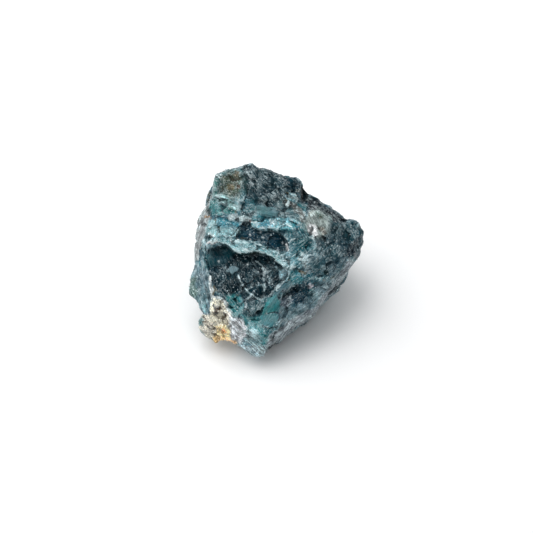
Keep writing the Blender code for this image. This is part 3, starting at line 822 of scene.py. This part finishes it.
# Patterns drawn out along the grain of the stone: how wide, long and deep they are, in millimetres, how
# many finer layers lie on them, and how rough and how bent they are.
DRAWN = {
    "wisps": ((0.45, 2.4, 1.0), 5.0, 0.74, 0.4),
    "veins": ((0.7, 2.4, 1.6), 4.0, 0.62, 0.5),
    "strands": ((0.3, 3.0, 1.2), 4.0, 0.65, 0.0),
}

# How far apart hairline cracks run and how far they bend, in millimetres.
CRACK_GAP, CRACK_BEND = 2.8, 2.4

# How traits and patterns are read: what is read, two values of it and what those two come to.
READINGS = {
    "uneven": ("depth", 0.1, 0.4, 0.3, 1.0),
    "hue": ("drift", 0.3, 0.7, 0.482, 0.507),
    "strength": ("cloud", 0.35, 0.65, 1.15, 0.82),
    "wisp": ("worn", 0.53, 0.64, 0.0, 1.0),
    "vein": ("off vein", 0.024, 0.004, 0.0, 1.0),
    "vein field": ("field", 0.38, 0.55, 0.0, 1.0),
    "vein strength": ("frost", 0.0, 1.0, 0.25, 0.9),
    "dark speck": ("speck", 0.57, 0.63, 0.0, 0.8),
    # painted shade: darker where the surface lies below the evened one
    "pale speck": ("speck", 0.43, 0.38, 0.0, 0.8),
    # painted highlight: a pale colour on the few small faces with the highest lot
    "cleft_shade": ("stands", -0.02, -0.18, 0.0, 0.75),
    "painted glint": ("lot", 0.962, 0.985, 0.0, 1.0),
    "crack": ("off crack", 0.035, 0.01, 0.0, 0.55),
    "crack field": ("cracked", 0.48, 0.6, 0.0, 1.0),
    "streak": ("strands", 0.35, 0.65, 0.45, 1.6),
    "streaky": ("fibres", 0.0, 1.0, 0.55, 1.25),
    "dull": ("polish", 0.0, 1.0, 0.8, 0.2),
    "crystal lean": ("depth", 0.1, 0.6, 0.05, 0.22),
    "grain lean": ("depth", 0.1, 0.6, 0.08, 0.35),
}

# How patterns darken and lighten the stone: two values of each and the tones that they give.
TONES = {
    "crystal": (0, 1, 0.84, 1.18), "grain": (0, 1, 0.78, 1.26),
    "cloud": (0.3, 0.7, 0.6, 1.5), "dust": (0.3, 0.7, 0.5, 1.6),
}

# How far the dust stands out of the surface, in millimetres, what each millimetre that an edge stands
# out adds to its wisps, and what crushed mineral adds to the stone's roughness.
DUST_HEIGHT = 0.06
WORN = 0.6
CRUSHED_ROUGHNESS = 0.4


def stone_readings(tree):
    """What the stone's material goes by, by name: its traits, its patterns and the readings of both."""
    place = add(tree, "TexCoord").outputs["Object"]
    given = {}
    for name in (*TRAITS, "stands", "tint", "course"):
        output = {"tint": "Color", "course": "Vector"}.get(name, "Fac")
        given[name] = add(tree, "Attribute", attribute_name=name).outputs[output]
    for name, size in CELLS.items():
        cell = add(tree, "TexVoronoi", {"Vector": place, "Scale": 1 / (size * MM)})
        given[name] = cell.outputs["Color"]
    for name, (size, detail, rough) in NOISES.items():
        given[name] = add(tree, "TexNoise",
                          {"Vector": place, "Scale": 1 / (size * MM), "Detail": detail, "Roughness": rough})
    for name, (size, detail, rough, bend) in DRAWN.items():
        drawn = add(tree, "VectorMath", [given["course"], [1 / side for side in size]],
                    operation="MULTIPLY")
        given[name] = add(tree, "TexNoise",
                          {"Vector": drawn, "Scale": 1.0, "Detail": detail, "Roughness": rough,
                           "Distortion": bend})
    # wisps lie thickest on worn edges, veins run where their pattern is at its middle value and each
    # small face draws a lot for its painted glint
    given["worn"] = add(tree, "Math", [given["stands"], WORN, given["wisps"]], operation="MULTIPLY_ADD")
    off = add(tree, "Math", [given["veins"], 0.5], operation="SUBTRACT")
    given["off vein"] = add(tree, "Math", [off], operation="ABSOLUTE")
    given["lot"] = add(tree, "SeparateColor", [given["face"]])
    bent = add(tree, "VectorMath", [given["bend"].outputs["Color"], (CRACK_BEND * MM,) * 3, place],
               operation="MULTIPLY_ADD")
    given["off crack"] = add(tree, "TexVoronoi", {"Vector": bent, "Scale": 1 / (CRACK_GAP * MM)},
                             feature="DISTANCE_TO_EDGE")
    for name, (source, low, high, least, most) in READINGS.items():
        given[name] = add(tree, "MapRange",
                          {"Value": given[source], "From Min": low, "From Max": high, "To Min": least,
                           "To Max": most})
    given["crushed"] = add(tree, "Math", [given["wisp"], given["frost"]], operation="MULTIPLY")
    return given


def stone_colour(tree, given):
    """The tint of the stone's patches, uneven from grain to grain, under layers of finer marks."""
    shade = 1.0
    for name, (low, high, dark, light) in TONES.items():
        part = add(tree, "SeparateColor", [given[name]])
        tone = add(tree, "MapRange",
                   {"Value": part, "From Min": low, "From Max": high, "To Min": dark, "To Max": light})
        shade = add(tree, "Math", [tone, shade], operation="MULTIPLY")
    # smooth faces are nearly even
    shade = add(tree, "Mix", {"Factor": given["uneven"], "A": 1.0, "B": shade})
    colour = add(tree, "VectorMath", {0: given["tint"], "Scale": shade}, operation="SCALE")
    # the blue-green wanders a little from patch to patch
    colour = add(tree, "HueSaturation",
                 {"Hue": given["hue"], "Saturation": given["strength"], "Color": colour})
    # the colours of the painted shade in clefts: dark blue-grey, brown in the crust
    shade_in_clefts = add(tree, "Mix", {"Factor": given["crumbs"], "A": linear("#0c1c23"), "B": linear("#5d4d33")},
                 data_type="RGBA")
    layers = (
        # crushed mineral, in wisps about 0.3 mm wide that run with the grain of the stone
        (linear("#c3d6d8"), ["crushed"]),
        # white veins about 0.1 mm wide that run with the grain of the stone
        (linear("#e2eff1"), ["vein", "vein field", "vein strength", "uneven"]),
        # specks of dark and of pale mineral, about 0.3 mm, in the ochre crust
        (linear("#3d3c2f"), ["dark speck", "crumbs"]),
        (linear("#efeadb"), ["pale speck", "crumbs"]),
        # painted shade in the clefts between blocks, where the surface lies below its evened self: dark
        # blue-grey, brown in the crust
        (shade_in_clefts, ["cleft_shade"]),
        # painted glints: small faces painted pale as if catching the light, where the finish has flecks
        (linear("#cbdbdf"), ["painted glint", "flecks"]),
        # hairline cracks, real ones being finer than the 0.1 mm drawn here
        (linear("#a9bcc2"), ["crack", "crack field", "flecks"]),
    )
    for cover, shares in layers:
        share = given[shares[0]]
        for name in shares[1:]:
            share = add(tree, "Math", [share, given[name]], operation="MULTIPLY")
        colour = add(tree, "Mix", {"Factor": share, "A": colour, "B": cover}, data_type="RGBA")
    # streaks 0.3 mm wide and 3 mm long that run with the grain of the stone, strongest between fibres
    streaked = add(tree, "VectorMath", {0: colour, "Scale": given["streak"]}, operation="SCALE")
    return add(tree, "Mix", {"Factor": given["streaky"], "A": colour, "B": streaked},
               data_type="RGBA", clamp_factor=False)


def stone_facing(tree, given):
    """Which way the surface faces: crystals and grains each lean their own way, under fine dust."""
    normal = add(tree, "NewGeometry").outputs["Normal"]
    for name in ("crystal", "grain"):
        lean = add(tree, "VectorMath", [given[name], (0.5, 0.5, 0.5)], operation="SUBTRACT")
        leaned = add(tree, "VectorMath", {0: lean, "Scale": given[name + " lean"]}, operation="SCALE")
        normal = add(tree, "VectorMath", [normal, leaned], operation="ADD")
    facing = add(tree, "VectorMath", [normal], operation="NORMALIZE")
    return add(tree, "Bump",
               {"Height": given["dust"], "Strength": 0.4, "Distance": DUST_HEIGHT * MM, "Normal": facing})


def stone_material():
    """Massive fluorapatite, freshly broken: blue-green to navy, glassy on its crystal faces, dull and pale
    where it is crushed, with ochre matrix and iron stain in its corners."""
    material = bpy.data.materials.new("broken_apatite")
    material.use_nodes = True
    tree = material.node_tree
    tree.nodes.clear()
    given = stone_readings(tree)
    # glassy on crystal faces, dull where it is crushed
    rough = add(tree, "Math", [given["crushed"], CRUSHED_ROUGHNESS, given["dull"]],
                operation="MULTIPLY_ADD", use_clamp=True)
    shader = add(tree, "BsdfPrincipled",
                 {"Base Color": stone_colour(tree, given), "Roughness": rough, "IOR": 1.63,
                  "Specular IOR Level": 0.15, "Specular Tint": linear("#72b8c8"),
                  "Normal": stone_facing(tree, given)})
    add(tree, "OutputMaterial", {"Surface": shader})
    return material


# The floor's half width, in metres, and how pale its paper is.
FLOOR_HALF, PAPER = 0.45, 0.94

# The walls' white, how bright they and the dimmer ceiling are, and how far up one gives way to the
# other, from 0 at the horizon to 1 overhead.
WALLS_WHITE = (0.96, 0.98, 1, 1)
WALLS, CEILING = 0.9, 0.26
WALLS_END = (0.02, 0.45)

# Where each lamp hangs and how wide it is, in metres, and its power in watts.
LAMPS = {"softbox": ((-0.3, 0.15, 0.5), 0.7, 4.0), "top_panel": ((0.15, 0.3, 0.6), 0.7, 2.0)}
LAMPS_AIM = Vector((0, 0, 0.01))


def pale_floor():
    """A plain floor of white paper."""
    mesh = bpy.data.meshes.new("floor")
    corners = [(x * FLOOR_HALF, y * FLOOR_HALF, 0) for x, y in ((-1, -1), (1, -1), (1, 1), (-1, 1))]
    mesh.from_pydata(corners, [], [(0, 1, 2, 3)])
    floor = new_object(mesh, "floor")
    paper = bpy.data.materials.new("white_paper")
    paper.use_nodes = True
    shader = paper.node_tree.nodes["Principled BSDF"]
    shader.inputs["Base Color"].default_value = (PAPER, PAPER, PAPER, 1)
    shader.inputs["Roughness"].default_value = 0.9
    floor.data.materials.append(paper)


def studio_light():
    """Pale walls round a dimmer ceiling, and wide soft lamps from the upper left and from above."""
    world = bpy.data.worlds.new("studio")
    bpy.context.scene.world = world
    world.use_nodes = True
    sky = world.node_tree.nodes["Background"]
    sky.inputs["Color"].default_value = WALLS_WHITE
    direction = add(world.node_tree, "TexCoord").outputs["Object"]
    height = add(world.node_tree, "SeparateXYZ", [direction])
    glow = add(world.node_tree, "MapRange",
               {"Value": height.outputs[2], "From Min": WALLS_END[0], "From Max": WALLS_END[1],
                "To Min": WALLS, "To Max": CEILING})
    world.node_tree.links.new(glow.outputs[0], sky.inputs["Strength"])
    for name, (spot, width, power) in LAMPS.items():
        light = bpy.data.lights.new(name, "AREA")
        light.size = width
        light.energy = power
        lamp = new_object(light, name)
        lamp.location = spot
        lamp.rotation_euler = (LAMPS_AIM - Vector(spot)).to_track_quat("-Z", "Y").to_euler()


def photograph_camera():
    """A camera that looks straight at the face and frames it as the photograph does."""
    middle = FRAME_PIXELS / 2
    aim = in_world(((middle - FACE_ORIGIN_PIXEL[0]) * PIXEL, (FACE_ORIGIN_PIXEL[1] - middle) * PIXEL, 0))
    away = Vector(FACE_TURN @ np.array((0, 0, 1)))
    distance = FRAME_PIXELS * PIXEL * MM * LENS / SENSOR
    lens = bpy.data.cameras.new("camera")
    lens.lens = LENS
    lens.sensor_width = SENSOR
    lens.clip_start = 0.01
    camera = new_object(lens, "camera")
    camera.location = Vector(aim) + away * distance
    camera.rotation_euler = (FACE_LEAN, 0, 0)
    bpy.context.scene.camera = camera
    bpy.context.scene.view_settings.view_transform = "Standard"


apatite = stone_material()
body = stone_body(apatite)
for piece in [body, *loose_pieces(body, apatite)]:
    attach(piece, "root")
    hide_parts(STONE)
pale_floor()
studio_light()
photograph_camera()
